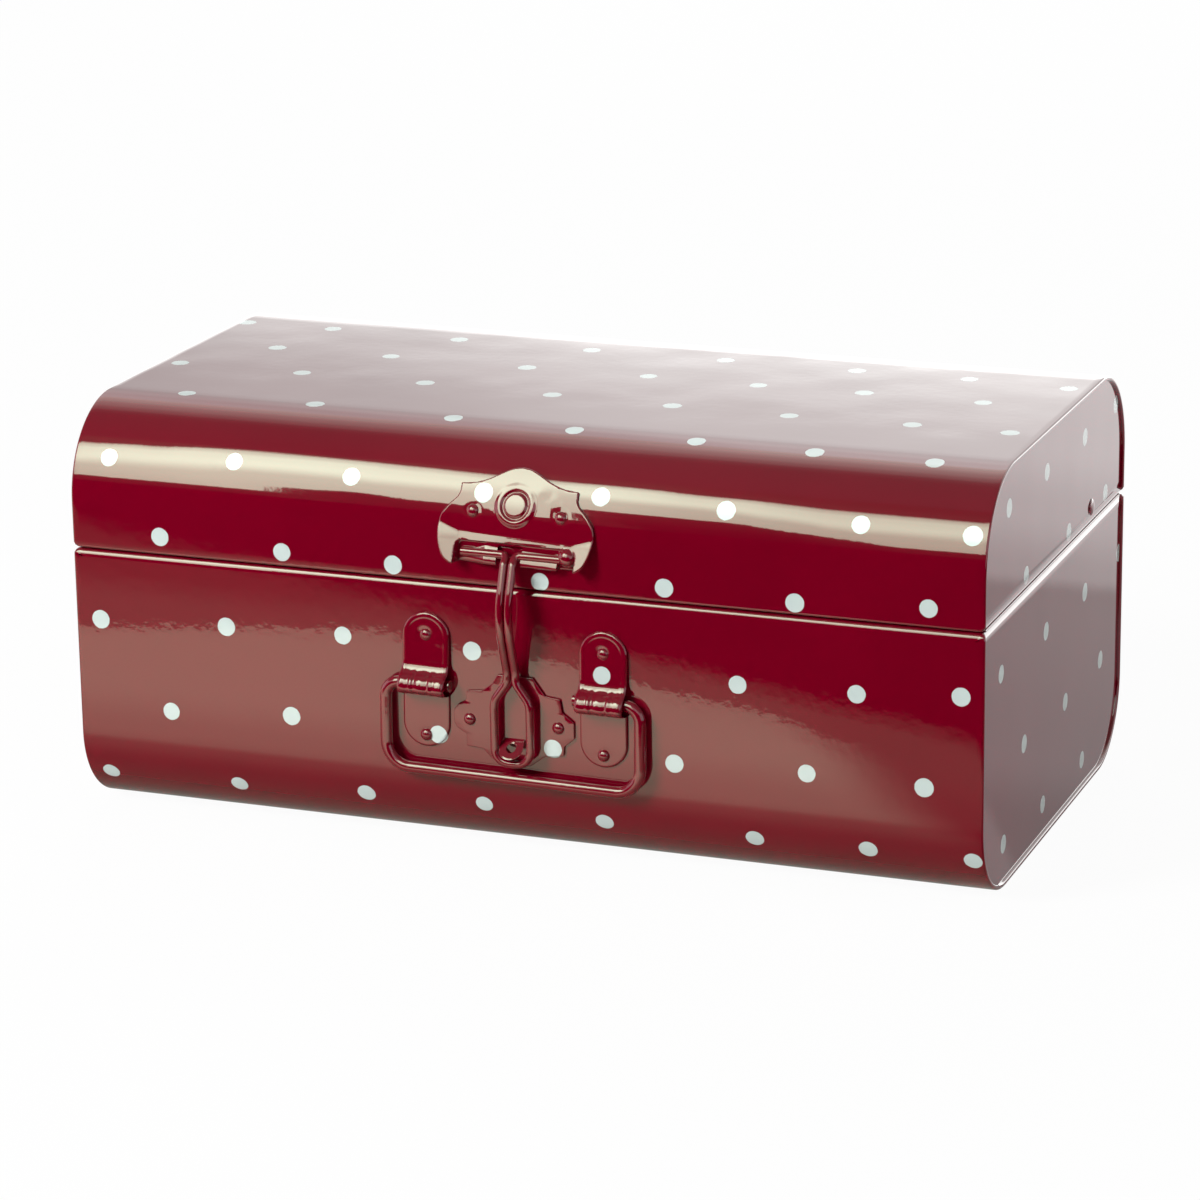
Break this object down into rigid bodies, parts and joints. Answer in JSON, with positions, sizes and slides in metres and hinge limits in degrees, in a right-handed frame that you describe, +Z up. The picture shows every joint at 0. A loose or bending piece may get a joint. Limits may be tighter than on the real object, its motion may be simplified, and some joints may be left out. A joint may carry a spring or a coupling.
{
  "type": "metal suitcase",
  "caption": "Small rounded sheet-steel suitcase in glossy dark red with white dots, a hinged lid, a wire hasp over a padlock ear, a drop handle and slotted lid stays.",
  "frame": {"origin": "middle of the flat underside that the case stands on", "axes": "+X to the right along the case's length, +Y to the back where the hinges are, +Z up; the hasp and the handle face -Y"},
  "size_m": [0.36, 0.217, 0.16],
  "materials": {
    "red_enamel": "glossy stove enamel, dark red with mint-white dots",
    "zinc_plated_steel": "satin"
  },
  "bodies": {
    "base": {"base_wrap": "red_enamel", "base_end_left": "red_enamel", "base_end_right": "red_enamel", "catch_plate": "red_enamel", "catch_rivet_left": "red_enamel", "catch_rivet_right": "red_enamel", "bracket_left": "red_enamel", "bracket_left_rivet_upper": "red_enamel", "bracket_left_rivet_lower": "red_enamel", "bracket_right": "red_enamel", "bracket_right_rivet_upper": "red_enamel", "bracket_right_rivet_lower": "red_enamel", "hinge_left_base_leaf": "red_enamel", "hinge_left_base_leaf_rivet_left": "red_enamel", "hinge_left_base_leaf_rivet_right": "red_enamel", "hinge_left_pin": "red_enamel", "hinge_right_base_leaf": "red_enamel", "hinge_right_base_leaf_rivet_left": "red_enamel", "hinge_right_base_leaf_rivet_right": "red_enamel", "hinge_right_pin": "red_enamel", "stay_stud_left": "zinc_plated_steel", "stay_stud_right": "zinc_plated_steel"},
    "lid": {"lid_wrap": "red_enamel", "lid_end_left": "red_enamel", "lid_end_right": "red_enamel", "hasp_plate": "red_enamel", "hasp_plate_rivet_left": "red_enamel", "hasp_plate_rivet_right": "red_enamel", "hinge_left_lid_leaf": "red_enamel", "hinge_left_lid_leaf_rivet_left": "red_enamel", "hinge_left_lid_leaf_rivet_right": "red_enamel", "hinge_right_lid_leaf": "red_enamel", "hinge_right_lid_leaf_rivet_left": "red_enamel", "hinge_right_lid_leaf_rivet_right": "red_enamel", "stay_rivet_left": "red_enamel", "stay_rivet_right": "red_enamel"},
    "hasp": {"hasp_link": "red_enamel"},
    "handle": {"handle_bail": "red_enamel"},
    "stay_left": {"stay_left": "zinc_plated_steel"},
    "stay_right": {"stay_right": "zinc_plated_steel"}
  },
  "joints": [
    {"name": "lid_hinge", "type": "hinge", "parent": "base", "child": "lid", "pos_m": [0, 0.1026, 0.106], "axis": [-1, 0, 0], "range_deg": [0, 100]},
    {"name": "hasp_swing", "type": "hinge", "parent": "lid", "child": "hasp", "pos_m": [0, -0.10225, 0.1194], "axis": [-1, 0, 0], "range_deg": [0, 110]},
    {"name": "handle_swing", "type": "hinge", "parent": "base", "child": "handle", "pos_m": [0, -0.10275, 0.067], "axis": [-1, 0, 0], "range_deg": [0, 110]},
    {"name": "stay_left_swing", "type": "hinge", "parent": "lid", "child": "stay_left", "pos_m": [-0.1742, 0.052, 0.112], "axis": [1, 0, 0], "range_deg": [0, 50]},
    {"name": "stay_right_swing", "type": "hinge", "parent": "lid", "child": "stay_right", "pos_m": [0.1742, 0.052, 0.112], "axis": [1, 0, 0], "range_deg": [0, 50]}
  ],
  "couplings": [
    {"joint": "stay_left_swing", "follows": "lid_hinge", "ratio": 0.5},
    {"joint": "stay_right_swing", "follows": "lid_hinge", "ratio": 0.5}
  ]
}
